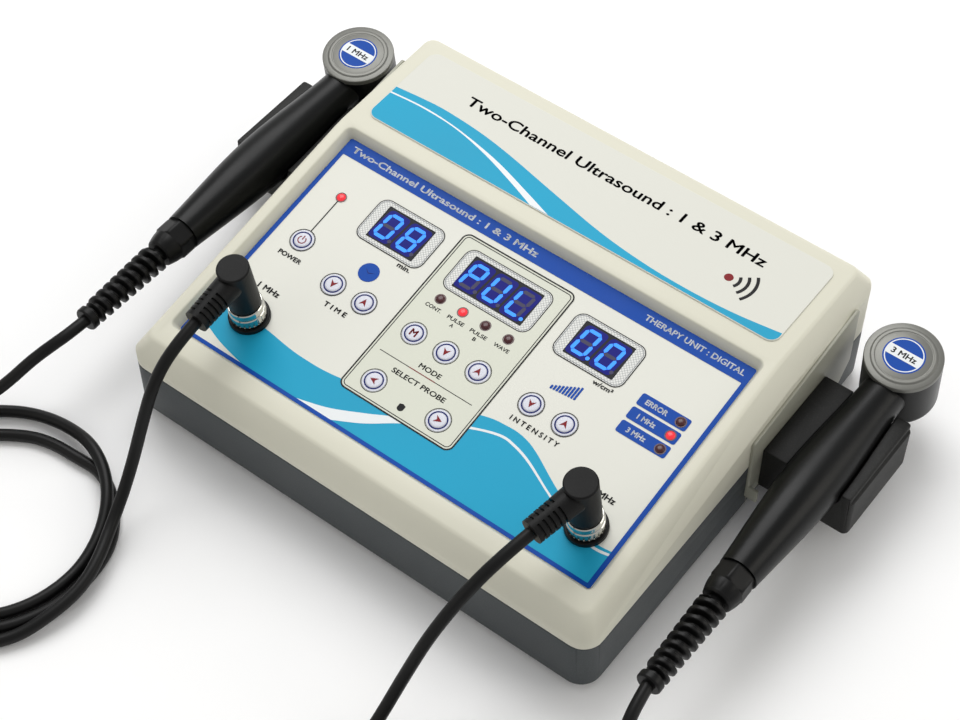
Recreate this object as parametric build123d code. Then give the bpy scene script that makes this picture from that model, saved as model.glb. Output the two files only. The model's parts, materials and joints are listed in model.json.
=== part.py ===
"""Two-channel ultrasound therapy unit.

A console with a sloping control panel, two treatment probes lying in cradles on
its sides, and the leads that join them to two sockets on the panel.
X runs to the right, Y to the back and Z up, in millimetres. Z = 0 is the surface
under the feet, and X = Y = 0 is the middle of the console.
"""
from build123d import *
import math
import os

# --- Console case ---------------------------------------------------------
case_width = 250.6
case_front = -109.5
case_back = 107.5
case_bottom = 4.0
seam_z = 33.6
roof_z = 71.5
bend_y = 36.1                 # where the flat roof turns into the sloping front
slope_angle = 9.0
bevel_run = 7.0               # the bevel round the top, seen from above
bevel_drop = 11.5             # and seen from the side
corner_radius = 10.0
mitre_radius = 6.0
bevel_middle = 42.0           # above every upright corner edge at the front
wall = 2.5
inner_corner = 4.5            # the cavity's cut corners
seam_chamfer = 0.4
lip_height = 1.6
lip_inset = 1.3
foot_radius = 8.0
foot_places = [(x, y) for x in (-92, 92) for y in (-82, 80)]
screw_places = [(-106, -97.5), (106, -97.5), (-108, 92), (108, 92)]
screw_head_z = 7.4
screw_seat_z = 9.0
screw_end_z = 44.0
boss_radius = 4.0             # in the upper shell; the lower one is a little wider
front_boss_top = 48.5
rear_boss_top = 70.0
label_width = 222.0
label_length = 50.8
label_middle = 68.0
label_corner = 5.0
label_thickness = 0.7

# --- Control panel: u across, v up the slope, n out of the panel ------------
panel_front = -89.9
panel_height = 46.2
panel_width = 222.0
panel_length = 123.0
panel_depth = 5.3             # how far the panel lies below the sloping top
panel_draft = 24.0
panel_corner = 1.2
overlay = 0.4
overlay_gap = 0.15
pan_bottom = -2.6
pan_top = 2.9
pan_border = 4.0
board_top = -10.0
board_thickness = 1.6
key_radius = 5.2
key_hole = 5.5
key_flange = 6.3
key_top = 0.5
key_bottom = -4.6
key_flange_top = -2.9
lamp_radius = 2.1
lamp_hole = 2.3
lamp_top = 0.35
filter_top = -0.1
filter_bottom = -2.4
pillar_places = [(u, v) for u in (-103, -32, 22, 103) for v in (39, 113)]
pillar_radius = 2.4
pillar_pin = 1.1
key_row = 56.0
time_u = -59.2
mode_u = -5.0
intensity_u = 49.5
key_gap = 8.75                # half the distance between the keys of a pair
mode_key_gap = 17.5
probe_row = 27.7
display_row = 93.7
window_height = 18.5

keys = {
    "key_power": (-94.4, 66.6),
    "key_time_down": (time_u - key_gap, key_row),
    "key_time_up": (time_u + key_gap, key_row),
    "key_mode_select": (mode_u - mode_key_gap, key_row),
    "key_mode_down": (mode_u, key_row),
    "key_mode_up": (mode_u + mode_key_gap, key_row),
    "key_intensity_down": (intensity_u - key_gap, key_row),
    "key_intensity_up": (intensity_u + key_gap, key_row),
    "key_probe_left": (mode_u - mode_key_gap, probe_row),
    "key_probe_right": (mode_u + mode_key_gap, probe_row),
}
lamps = [(-94.1, 94.3)]
lamps += [(u, 76.3) for u in (-23.5, -11.2, 1.2, 13.6)]
lamps += [(98.0, v) for v in (84.1, 76.5, 68.8)]
windows = [(-59.3, 26.0), (-5.0, 37.6), (49.3, 26.0)]

# --- Sockets, plugs and coupling rings, along the panel's normal -------------
socket_row = 22.5
socket_left = -88.5
socket_right = 93.5
socket_hole = 7.5
socket_thread = 7.3
socket_spigot = 6.3
spigot_top = 8.5
washer_radius = 9.5
washer_top = 2.5
ring_bottom = 2.9
ring_top = 12.4
grip_radius = 8.3
collar_radius = 8.0
plug_radius = 7.35
plug_bottom = 12.8
plug_top = 40.0
boot_height = 32.2
boot_length = 26.5
boot_start_radius = 6.4
boot_end_radius = 5.7
boot_groove = 1.1
boot_groove_pitch = 2.7
boot_first_groove = 12.5
right_boot_turn = 13.0

# --- Rear opening and mains parts ----------------------------------------------
rear_plate_y = 103.0
rear_plate = 2.0
opening_width = 150.0
opening_low = 12.0
opening_high = 56.0
inlet_x = 45.0
inlet_low = 15.0
inlet_high = 53.0
inlet_floor = 90.0            # how deep the plug's recess goes
plate_half = 77.9
plate_low = 9.0
plate_high = 57.2
switch_x = 5.0
switch_z = 34.0
vent_count = 9
vent_pitch = 6.0
rocker_tilt = 8.0
rocker_pivot_y = 100.0
rocker_pin = 1.3

# --- Probes and their holders (right side; the left one is its mirror) ----------
probe_x = 152.2
probe_z = 38.5
head_y = 87.1
head_radius = 17.4
head_tilt = 6.0
face_thickness = 3.0
head_bottom = 20.0
head_top = 49.2
gland_front = -107.5
gland_back = -42.6
nut_radius = 9.0
nut_length = 9.5
cone_start = 8.6
cone_end = 6.8
cone_length = 6.9
guard_core = 3.9
guard_rings = 7
guard_ring_start = 6.9
guard_ring_end = 5.9
guard_ring_width = 2.8
guard_collar = 5.8
handle_front = 9.0            # the handle's radius at the gland
handle_belly = 12.7
handle_belly_y = 9.0
handle_neck = 10.3
bracket_thickness = 1.5
holder_screw_y = (24, 57)
holder_screw_z = 22.0
cradle_outer = 171.5
cradle_front = 15.5
cradle_back = 65.6
cradle_low = 12.0
cradle_top = 38.7
cord_diameter = 5.6
cord_gap = 0.8                # between a lead's end and the gland that lifts off

case_half = case_width / 2
case_depth = case_back - case_front
case_middle = (case_front + case_back) / 2
slope = math.tan(math.radians(slope_angle))
tilt_y = -math.sin(math.radians(slope_angle))
tilt_z = math.cos(math.radians(slope_angle))
panel = Plane(
    origin=(0, panel_front, panel_height), x_dir=(1, 0, 0), z_dir=(0, tilt_y, tilt_z)
)
from_below = (Align.CENTER, Align.CENTER, Align.MIN)


# --- Small helpers ------------------------------------------------------------
def block(low, high):
    """A box between two opposite corners."""
    size = [b - a for a, b in zip(low, high)]
    middle = [(a + b) / 2 for a, b in zip(low, high)]
    return Pos(*middle) * Box(*size)


def rod(radius, low, high, x=0.0, y=0.0):
    """An upright cylinder between two heights."""
    return Pos(x, y, low) * Cylinder(radius, high - low, align=from_below)


def slab(width, length, radius, low, high, x=0.0, y=0.0):
    """An upright prism with a rounded rectangular outline."""
    outline = Pos(x, y, low) * RectangleRounded(width, length, radius)
    return extrude(outline, high - low)


def on_panel(shape, u=0.0, v=0.0, n=0.0):
    """Places a shape that is drawn upright onto the sloping panel."""
    return panel * Pos(u, v, n) * shape


def turned(points):
    """A solid of revolution about the Z axis from (radius, height) points."""
    outline = Plane.XZ * make_face(Polyline(*points, close=True))
    return revolve(outline, Axis.Z)


def other_side(shape):
    """The same shape on the console's left side."""
    return mirror(shape, about=Plane.YZ)


def both_sides(shape):
    return shape + other_side(shape)


# --- Console case ---------------------------------------------------------------
def corner_edges(shape, inset):
    """The upright and mitred edges at the four corners of the case."""
    found = []
    for edge in shape.edges():
        middle = edge.center()
        at_side = abs(abs(middle.X) - case_half + inset) < bevel_run + 1
        at_front = middle.Y < case_front + inset + bevel_run + 1
        at_back = middle.Y > case_back - inset - bevel_run - 1
        rises = abs((edge @ 1 - edge @ 0).Z) > 2
        if at_side and (at_front or at_back) and rises:
            found.append(edge)
    return found


def side_bevel(half, roof, run):
    """What the bevel takes off one long side, behind and in front of the bend."""
    reach = 5.0
    rise = reach * bevel_drop / bevel_run
    outer = half + reach
    inner = half - bevel_run - reach
    outline = Polyline(
        (outer, roof - bevel_drop - rise), (inner, roof + rise), (outer, roof + rise), close=True
    )
    cut_plane = Plane(origin=(0, bend_y, 0), x_dir=(1, 0, 0), z_dir=(0, -1, 0))
    face = cut_plane * make_face(outline)
    behind = extrude(face, amount=case_depth / 2, dir=(0, 1, 0))
    before = extrude(face, amount=(run + 20) / tilt_z, dir=(0, -1, -slope))
    return behind, before


def upper_form(inset):
    """The upper half's closed form, shrunk inwards on every side but the seam."""
    half = case_half - inset
    front = case_front + inset
    back = case_back - inset
    roof = roof_z - inset
    low = seam_z - inset
    run = bend_y - front
    front_roof = roof - run * slope
    side = Polyline(
        (front, low),
        (front, front_roof - bevel_drop),
        (front + bevel_run, front_roof + bevel_run * slope),
        (bend_y, roof),
        (back - bevel_run, roof),
        (back, roof - bevel_drop),
        (back, low),
        close=True,
    )
    form = extrude(Plane.YZ * make_face(side), half, both=True)
    for cut in side_bevel(half, roof, run):
        form -= cut
        form -= other_side(cut)
    return form


def upper_outside():
    """The outer form with round upright corners and softer mitres above them."""
    form = upper_form(0)
    form &= slab(case_width, case_depth, corner_radius, seam_z, roof_z + 1, y=case_middle)
    mitres = [
        edge
        for edge in corner_edges(form, 0)
        if edge.geom_type == GeomType.LINE and edge.center().Z > bevel_middle
    ]
    form = fillet(mitres, mitre_radius)
    bottom_rim = form.edges().filter_by_position(Axis.Z, seam_z, seam_z)
    return chamfer(bottom_rim, seam_chamfer)


def upper_inside():
    form = upper_form(wall)
    return chamfer(corner_edges(form, wall), inner_corner)


def panel_recess():
    """The drafted pocket above the overlay."""
    middle = panel_length / 2
    straight = on_panel(slab(panel_width, panel_length, panel_corner, -overlay, 0), v=middle)
    outline = on_panel(RectangleRounded(panel_width, panel_length, panel_corner), v=middle)
    drafted = extrude(outline, panel_depth + 3, taper=-panel_draft)
    return straight + drafted


def panel_holes(low, high):
    """Everything that passes through the panel: keys, lamps, windows, sockets."""
    holes = [on_panel(rod(key_hole, low, high), u, v) for u, v in keys.values()]
    holes += [on_panel(rod(lamp_hole, low, high), u, v) for u, v in lamps]
    for u in (socket_left, socket_right):
        holes.append(on_panel(rod(socket_hole, low, high), u, socket_row))
    for u, width in windows:
        opening = slab(width + 0.4, window_height + 0.4, 1, low, high)
        holes.append(on_panel(opening, u, display_row))
    return holes


def board_pillars():
    """Pillars under the pan, with pins that go through the display board."""
    pillars = []
    pin_end = board_top - board_thickness - 0.8
    for u, v in pillar_places:
        pillars.append(on_panel(rod(pillar_radius, board_top, pan_bottom + 0.5), u, v))
        pillars.append(on_panel(rod(pillar_pin, pin_end, board_top), u, v))
    return pillars


def plate_guides(low, high):
    """The channels on the back wall that hold the rear plate's two ends."""
    stop = block((74, rear_plate_y - 2, low), (81, rear_plate_y, high))
    side = block((78.3, rear_plate_y - 2, low), (81, case_back - wall + 0.3, high))
    return both_sides(stop + side)


def rear_opening():
    return block(
        (-opening_width / 2, case_back - 8, opening_low),
        (opening_width / 2, case_back + 3, opening_high),
    )


def holder_screw_holes():
    holes = [
        Pos(case_half, y, holder_screw_z) * Rot(0, 90, 0) * Cylinder(1.6, 20)
        for y in holder_screw_y
    ]
    return [both_sides(hole) for hole in holes]


def lip_rebate():
    """The step inside the upper shell's rim that fits over the lower shell's lip."""
    gap = 0.1
    inside = wall + 1
    low = seam_z - 1
    high = seam_z + lip_height + 0.2
    rebate = slab(
        case_width - 2 * lip_inset + 2 * gap,
        case_depth - 2 * lip_inset + 2 * gap,
        corner_radius - lip_inset,
        low,
        high,
        y=case_middle,
    )
    rebate -= slab(
        case_width - 2 * inside,
        case_depth - 2 * inside,
        corner_radius - wall - 0.5,
        low - 1,
        high + 1,
        y=case_middle,
    )
    return rebate


def upper_shell():
    middle = panel_length / 2
    pan_width = panel_width + 2 * pan_border
    pan_length = panel_length + 2 * pan_border
    pan = on_panel(slab(pan_width, pan_length, pan_border, pan_bottom, pan_top), v=middle)
    shell = upper_outside() - (upper_inside() - pan)
    shell -= panel_recess()
    for x, y in screw_places:
        top = front_boss_top if y < 0 else rear_boss_top
        shell += rod(boss_radius, seam_z, top, x, y)
        shell -= rod(1.5, seam_z, top - 3, x, y)
    shell += plate_guides(seam_z + 2.5, plate_high)
    shell -= lip_rebate()
    for pillar in board_pillars():
        shell += pillar
    for hole in panel_holes(pan_bottom - 1, 1):
        shell -= hole
    shell -= rear_opening()
    return shell


def lower_shell():
    shell = slab(
        case_width, case_depth, corner_radius, case_bottom, seam_z, y=case_middle
    )
    rims = shell.edges().filter_by_position(Axis.Z, case_bottom, case_bottom)
    shell = fillet(rims, 2.0)
    top_rims = shell.edges().filter_by_position(Axis.Z, seam_z, seam_z)
    shell = chamfer(top_rims, seam_chamfer)
    shell += slab(
        case_width - 2 * lip_inset,
        case_depth - 2 * lip_inset,
        corner_radius - lip_inset,
        seam_z,
        seam_z + lip_height,
        y=case_middle,
    )
    shell -= slab(
        case_width - 2 * wall,
        case_depth - 2 * wall,
        corner_radius - wall,
        case_bottom + wall,
        seam_z + lip_height,
        y=case_middle,
    )
    floor = case_bottom + wall - 0.2
    for x, y in screw_places:
        shell += rod(boss_radius + 0.6, floor, seam_z, x, y)
        shell -= rod(3.2, case_bottom, screw_seat_z, x, y)
        shell -= rod(1.7, screw_seat_z, seam_z + 3, x, y)
    for x, y in board_screw_places:
        shell += rod(3.2, floor, main_board_low, x, y)
    shell += plate_guides(floor, seam_z - 0.2)
    shell += block((-70, rear_plate_y - 1, floor), (70, case_back - wall + 0.3, 9))
    shell -= rear_opening()
    for hole in holder_screw_holes():
        shell -= hole
    return shell


def rubber_feet():
    feet = [rod(foot_radius, 0, case_bottom, x, y) for x, y in foot_places]
    return [fillet(foot.edges().sort_by(Axis.Z)[:1], 1) for foot in feet]


def case_screws():
    return [
        rod(2.8, screw_head_z, screw_seat_z, x, y) + rod(1.45, screw_seat_z, screw_end_z, x, y)
        for x, y in screw_places
    ]


def label_plate():
    top = roof_z + label_thickness
    plate = slab(label_width, label_length, label_corner, roof_z, top, y=label_middle)
    return fillet(plate.edges().group_by(Axis.Z)[-1], 0.3)


# --- Control panel ----------------------------------------------------------------
def front_overlay():
    width = panel_width - 2 * overlay_gap
    length = panel_length - 2 * overlay_gap
    sheet = on_panel(slab(width, length, panel_corner, -overlay, 0), v=panel_length / 2)
    for hole in panel_holes(-overlay - 1, 1):
        sheet -= hole
    return sheet


def display_windows():
    return [
        on_panel(slab(width, window_height, 0.9, filter_bottom, filter_top), u, display_row)
        for u, width in windows
    ]


def display_modules():
    modules = []
    for u, width in windows:
        module = slab(width - 0.8, window_height - 0.8, 0.5, board_top, filter_bottom)
        modules.append(on_panel(module, u, display_row))
    return modules


def indicator_leds():
    lamp = rod(lamp_radius, board_top, lamp_top)
    lamp = fillet(lamp.edges().sort_by(Axis.Z)[-1:], 0.5)
    lamp += rod(lamp_radius + 0.5, board_top, board_top + 1)
    return [on_panel(lamp, u, v) for u, v in lamps]


def key_cap(u, v):
    cap = rod(key_radius, key_bottom, key_top)
    cap = fillet(cap.edges().sort_by(Axis.Z)[-1:], 0.3)
    cap += rod(key_flange, key_bottom, key_flange_top)
    return on_panel(cap, u, v)


def display_board():
    low = board_top - board_thickness
    board = slab(212, 80, 2, low, board_top, y=76)
    board += slab(60, 24, 2, low, board_top, x=-5, y=28)
    board = on_panel(board)
    for u, v in pillar_places:
        board -= on_panel(rod(pillar_pin + 0.2, low - 1, board_top + 1), u, v)
    return board


def key_switches():
    body = Pos(0, 0, board_top) * Box(6, 6, 3.5, align=from_below)
    switch = body + rod(1.7, board_top + 3.4, -5.3)
    return [on_panel(switch, u, v) for u, v in keys.values()]


# --- Inside the console --------------------------------------------------------------
main_board_low = 12.0
main_board_high = 13.6
board_screw_places = [(x, y) for x in (-60, 60) for y in (-68, 28)]


def main_board():
    board = slab(150, 112, 3, main_board_low, main_board_high, y=-20)
    chips = [(-20, -40, 14, 14), (15, -30, 20, 8), (40, -50, 12, 18), (45, 5, 10, 10)]
    for x, y, width, length in chips:
        chip = Box(width, length, 2.2, align=from_below)
        board += Pos(x, y, main_board_high) * chip
    return board


def mains_transformer():
    middle = (-75, 68)
    core = slab(57, 20, 1, 6.5, 54.5, x=middle[0], y=middle[1])
    winding = slab(38, 40, 5, 14, 46, x=middle[0], y=middle[1])
    return core + winding


def heat_sink():
    sink = block((-25, 52, 6.5), (25, 56, 40))
    for index in range(9):
        x = -25 + index * 5.9
        sink += block((x, 56, 6.5), (x + 2.8, 72, 40))
    return sink


def power_transistors():
    return [block((x, 47.4, 18), (x + 10, 52, 34)) for x in (-18, 8)]


def filter_capacitors():
    tops = []
    for x in (-55, -32):
        can = rod(8, main_board_high, 39, x, 10)
        tops.append(fillet(can.edges().sort_by(Axis.Z)[-1:], 1))
    return tops


# --- Rear plate and mains parts ---------------------------------------------------------
def rear_panel():
    back = rear_plate_y + rear_plate
    plate = block((-plate_half, rear_plate_y, plate_low), (plate_half, back, plate_high))
    plate -= block((inlet_x - 13.6, 100, 17.4), (inlet_x + 13.6, 110, 50.6))
    plate -= block((switch_x - 6.6, 100, switch_z - 11.1), (switch_x + 6.6, 110, switch_z + 11.1))
    for index in range(vent_count):
        x = -62 + index * vent_pitch
        slot = Pos(x, 104, 34) * Rot(90, 0, 0) * SlotOverall(28, 2.4, rotation=90)
        plate -= extrude(slot, 5, both=True)
    return plate


def mains_inlet():
    flange_y = rear_plate_y + rear_plate
    flange = block((inlet_x - 15, flange_y, inlet_low), (inlet_x + 15, flange_y + 3, inlet_high))
    flange = fillet(flange.edges().filter_by(Axis.Y), 2)
    body = block((inlet_x - 13.5, 84, 17.5), (inlet_x + 13.5, flange_y, 50.5))
    inlet = flange + body
    recess = Polyline(
        (-12, 19.5), (12, 19.5), (12, 32), (7.5, 36.5), (-7.5, 36.5), (-12, 32), close=True
    )
    mouth = Plane(origin=(inlet_x, inlet_floor, 0), x_dir=(1, 0, 0), z_dir=(0, -1, 0)) * make_face(recess)
    inlet -= extrude(mouth, amount=20, dir=(0, 1, 0))
    inlet -= block((inlet_x - 11, 86, 40), (inlet_x + 11, 110, 48))
    return inlet


def inlet_pins():
    return [
        block((inlet_x + x - 1, inlet_floor, z - 2), (inlet_x + x + 1, inlet_floor + 15, z + 2))
        for x, z in ((-7, 25), (7, 25), (0, 31))
    ]


def fuse_drawer():
    tray = block((inlet_x - 10.7, 86.5, 40.3), (inlet_x + 10.7, 108.3, 47.7))
    tray -= block((inlet_x - 9.5, 88, 42), (inlet_x + 9.5, 100, 50))
    front = block((inlet_x - 12, 108.3, 39), (inlet_x + 12, 109.5, 49))
    front = fillet(front.edges().filter_by(Axis.Y), 1)
    return tray + front


def power_switch():
    flange_y = rear_plate_y + rear_plate
    bezel = block(
        (switch_x - 7.7, flange_y, switch_z - 12.2), (switch_x + 7.7, flange_y + 1.6, switch_z + 12.2)
    )
    bezel = fillet(bezel.edges().filter_by(Axis.Y), 1)
    body = block((switch_x - 6.5, 88, switch_z - 11), (switch_x + 6.5, flange_y, switch_z + 11))
    bay = block((switch_x - 5.4, 96, switch_z - 10.1), (switch_x + 5.4, 110, switch_z + 10.1))
    pivot_hole = Rot(0, 90, 0) * Cylinder(rocker_pin + 0.06, 12.6)
    return bezel + body - bay - Pos(switch_x, rocker_pivot_y, switch_z) * pivot_hole


def power_rocker():
    """A hollow-backed rocker whose two finger faces meet in a shallow valley."""
    half = 8.7
    valley = 6.0
    rise = half * math.tan(math.radians(rocker_tilt))
    outline = Polyline(
        (-2, -half), (valley + rise, -half), (valley, 0), (valley + rise, half), (-2, half), close=True
    )
    rocker = extrude(Plane.YZ * make_face(outline), 5.1, both=True)
    rocker += Rot(0, 90, 0) * Cylinder(rocker_pin, 12.2)
    return Pos(switch_x, rocker_pivot_y, switch_z) * Rot(-rocker_tilt, 0, 0) * rocker


# --- Sockets and plugs ---------------------------------------------------------------------
def probe_sockets():
    """Threaded barrels through the panel, with a spigot for the plug."""
    socket = rod(socket_thread, -14, 0) + rod(socket_spigot, 0, spigot_top)
    return [on_panel(socket, u, socket_row) for u in (socket_left, socket_right)]


def socket_washers():
    ring = rod(washer_radius, 0, washer_top) - rod(socket_spigot + 0.1, -1, washer_top + 1)
    top_edges = ring.edges().filter_by_position(Axis.Z, washer_top, washer_top)
    ring = fillet(top_edges.sort_by(SortBy.RADIUS)[-1:], 0.5)
    return [on_panel(ring, u, socket_row) for u in (socket_left, socket_right)]


def socket_nuts():
    outline = RegularPolygon(10, 6)
    nut = Pos(0, 0, -6.6) * extrude(outline, 4) - rod(socket_thread, -8, 0)
    return [on_panel(nut, u, socket_row) for u in (socket_left, socket_right)]


def coupling_ring(u):
    """The turning ring: a fluted grip, a groove and a smooth collar with a lip."""
    ring = turned(
        [
            (6.7, ring_bottom), (grip_radius - 0.3, ring_bottom), (grip_radius, ring_bottom + 0.4),
            (grip_radius, 8.0), (7.9, 8.4), (7.6, 8.5), (7.6, 9.1), (collar_radius, 9.2),
            (collar_radius, ring_top - 0.4), (7.6, ring_top), (5.9, ring_top), (5.9, 9.7), (6.7, 9.7),
        ]
    )
    flutes = 24
    for index in range(flutes):
        ring -= Rot(0, 0, index * 360 / flutes) * rod(0.35, 3.6, 7.7, x=grip_radius + 0.1)
    return on_panel(ring, u, socket_row)


def plug(u, turn):
    """A right-angle plug: round body, neck and flange in the ring, ribbed boot."""
    body = rod(plug_radius, plug_bottom, plug_top)
    body = fillet(body.edges().sort_by(Axis.Z)[-1:], 0.8)
    body += rod(5.5, 9.2, plug_bottom + 0.1) + rod(6.3, spigot_top, 9.3)
    boot = Cone(boot_start_radius, boot_end_radius, boot_length, align=from_below)
    grooves = 5
    for index in range(grooves):
        reach = boot_first_groove + index * boot_groove_pitch
        groove = Pos(0, 0, reach) * Cylinder(8, boot_groove, align=from_below)
        groove -= Cylinder(4.9, 80)
        for side in (1, -1):
            half = Pos(side * 6.3, 0, 0) * Box(10, 20, 80)
            boot -= groove & half
    lying = Rot(0, 0, turn) * Pos(0, 0, boot_height) * Rot(90, 0, 0) * boot
    return on_panel(body + lying, u, socket_row)


# --- Holders --------------------------------------------------------------------------------
def bracket():
    """A painted sheet on the case side, higher than the cradle that it carries."""
    sheet = Polyline((7, 12), (7, 51.5), (89, 61.5), (89, 26), (78, 12), close=True)
    face = Plane.YZ * make_face(sheet)
    plate = Pos(case_half, 0, 0) * extrude(face, bracket_thickness)
    plate = fillet(plate.edges().filter_by(Axis.X), 1.5)
    outside = case_half + bracket_thickness
    lip = block((outside - 0.5, 7, 12.5), (outside + 4.5, 8.5, 20))
    plate += lip
    for hole in holder_screw_holes():
        plate -= hole
    return plate


def handle_outline(gap=0.0):
    """The handle's half outline as (distance along Y, radius) curves."""
    rear = head_y - 8
    side = Spline(
        (gland_back, handle_front + gap),
        (-20, 10.9 + gap),
        (handle_belly_y, handle_belly + gap),
        (36, 12.0 + gap),
        (53, 10.9 + gap),
        (rear, handle_neck + gap),
    )
    end = Line((rear, handle_neck + gap), (rear, 0))
    axis = Line((rear, 0), (gland_back, 0))
    front = Line((gland_back, 0), (gland_back, handle_front + gap))
    return make_face([side, end, axis, front])


def lying_round(outline):
    """Turns an outline round the probe's axis, which lies along Y."""
    solid = revolve(outline, Axis.X)
    return Pos(probe_x, 0, probe_z) * Rot(0, 0, 90) * solid


def open_above(outline):
    """The way up out of a groove with that outline, from the probe's axis."""
    plan = outline + mirror(outline, about=Plane.XZ)
    return Pos(probe_x, 0, probe_z) * Rot(0, 0, 90) * extrude(plan, head_top)


def head_place():
    """The head leans forward, about a point half-way up its axis."""
    return Pos(probe_x, head_y, probe_z) * Rot(head_tilt, 0, 0) * Pos(0, 0, -probe_z)


def cradle():
    inner = case_half + bracket_thickness
    body = block((inner, cradle_front, cradle_low), (cradle_outer, cradle_back, cradle_top))
    uprights = body.edges().filter_by(Axis.Z).filter_by_position(Axis.X, cradle_outer, cradle_outer)
    body = fillet(uprights, 3.0)
    rims = body.faces().sort_by(Axis.Z)[0].edges()
    body = fillet(rims.filter_by_position(Axis.X, inner + 1, cradle_outer), 2.0)
    step = block((cradle_outer - 1.2, 0, cradle_top - 3), (cradle_outer + 1, 100, cradle_top + 1))
    body -= step
    groove = handle_outline(gap=0.6)
    body -= lying_round(groove)
    body -= open_above(groove)
    for hole in holder_screw_holes():
        body -= hole
    return body


def holder_screws():
    screws = []
    for y in holder_screw_y:
        shaft = Cylinder(1.5, 10.4, align=from_below)
        screw = shaft + Pos(0, 0, -1.8) * Cylinder(2.8, 1.8, align=from_below)
        screw = Pos(case_half - wall, y, holder_screw_z) * Rot(0, 90, 0) * screw
        screws += [screw, other_side(screw)]
    return screws


# --- Probes -----------------------------------------------------------------------------------
def handle():
    grip = lying_round(handle_outline())
    return grip - head_place() * rod(head_radius, 0, 80)


def head():
    cup = rod(head_radius, head_bottom, head_top)
    cup = fillet(cup.edges().sort_by(Axis.Z)[:1], 6)
    cup -= rod(head_radius - 2.5, head_bottom + 4, head_top)
    return head_place() * cup


def face():
    disc = turned(
        [
            (0, head_top), (head_radius, head_top), (head_radius, head_top + face_thickness - 1.0),
            (head_radius - 0.5, head_top + face_thickness - 0.5),
            (14.4, head_top + face_thickness - 0.5), (14.2, head_top + face_thickness),
            (0, head_top + face_thickness),
        ]
    )
    return head_place() * disc


def crystal():
    return head_place() * rod(12.5, head_top - 2, head_top)


def gland():
    """The hexagonal cap nut and its bend guard: a core with leaning rings."""
    length = gland_back - gland_front
    nut = extrude(RegularPolygon(nut_radius, 6), nut_length)
    nut += Pos(0, 0, nut_length) * Cone(cone_start, cone_end, cone_length, align=from_below)
    guard = nut + rod(guard_core, 0, length)
    first = 20.0
    last = length - 8
    for index in range(guard_rings):
        share = index / (guard_rings - 1)
        reach = first + (last - first) * share
        radius = guard_ring_start + (guard_ring_end - guard_ring_start) * share
        guard += Pos(0, 0, reach) * Rot(12, 0, 0) * Cylinder(radius, guard_ring_width)
    guard += rod(guard_collar, length - 5, length)
    return Pos(probe_x, gland_back, probe_z) * Rot(90, 0, 0) * guard


# --- Leads ----------------------------------------------------------------------------------------
# The free stretches are hand-laid routes; the last points lie in or on the coils.
left_lead_route = [
    (-88.5, -99.1, 77.3), (-88.5, -114.3, 74.6), (-88.9, -127.5, 64.2), (-89.2, -136.8, 47.0),
    (-88.9, -146.0, 30.0), (-87.6, -156.0, 16.5), (-84.5, -168.0, 8.5),
]
left_return_route = [
    (-183.5, -167.5, 7.6), (-177.6, -159.3, 10.6), (-171.6, -152, 15.6), (-166, -143.8, 22.6),
    (-160.7, -134.6, 30.7), (-156.1, -126, 35.8), (-153, -117, 38.2),
    (-152.2, gland_front - cord_gap, 38.5),
]
right_lead_route = [
    (87.4, -98.6, 77.4), (84.2, -113.5, 75.2), (78.5, -130, 64), (72.5, -145, 46),
    (68.5, -158, 26), (66.6, -171, 11), (66.5, -187, 3.6), (69, -203, 2.8), (76, -217, 2.8),
    (90, -227.3, 2.8), (106, -229.8, 2.8), (118.5, -228.4, 2.8),
]
right_return_route = [
    (158, -192, 8.4), (159.2, -178, 6.4), (159.6, -165.1, 7.4), (159.3, -155.1, 11),
    (158.3, -146.1, 18), (157, -136.6, 27.2), (155.4, -127.1, 34.1), (153.4, -117.6, 37.6),
    (152.2, gland_front - cord_gap, 38.5),
]
left_coil_middle = (-137, -193.9)
left_coil_radii = (39, 71)
right_coil_middle = (124, -193.9)
right_coil_radii = (25.2, 37)
coil_height = 11.4


def corner_radii(route):
    """The largest gentle arc for each corner of a route."""
    points = [Vector(*point) for point in route]
    radii = []
    for before, here, after in zip(points, points[1:], points[2:]):
        arriving = here - before
        leaving = after - here
        half_turn = math.radians(arriving.get_angle(leaving)) / 2
        shorter = min(arriving.length, leaving.length)
        radii.append(0.45 * shorter / math.tan(half_turn))
    return radii


def cord_tube(route, name):
    radii = corner_radii(route)
    path = FilletPolyline(*route, radius=radii)
    start = Plane(origin=path @ 0, z_dir=path % 0)
    tube = sweep(start * Circle(cord_diameter / 2), path=path)
    section = math.pi * cord_diameter**2 / 4
    print(
        name,
        "length",
        round(path.length, 1),
        "volume share",
        round(tube.volume / (section * path.length), 4),
        "radii",
        [round(radius, 1) for radius in radii],
    )
    return tube


def cord_coil(middle, radii):
    inner, outer = radii
    ring = rod(outer, 0, coil_height) - rod(inner, -1, coil_height + 1)
    rims = ring.edges().filter_by(GeomType.CIRCLE)
    return Pos(*middle, 0) * fillet(rims, 2.5)


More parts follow.
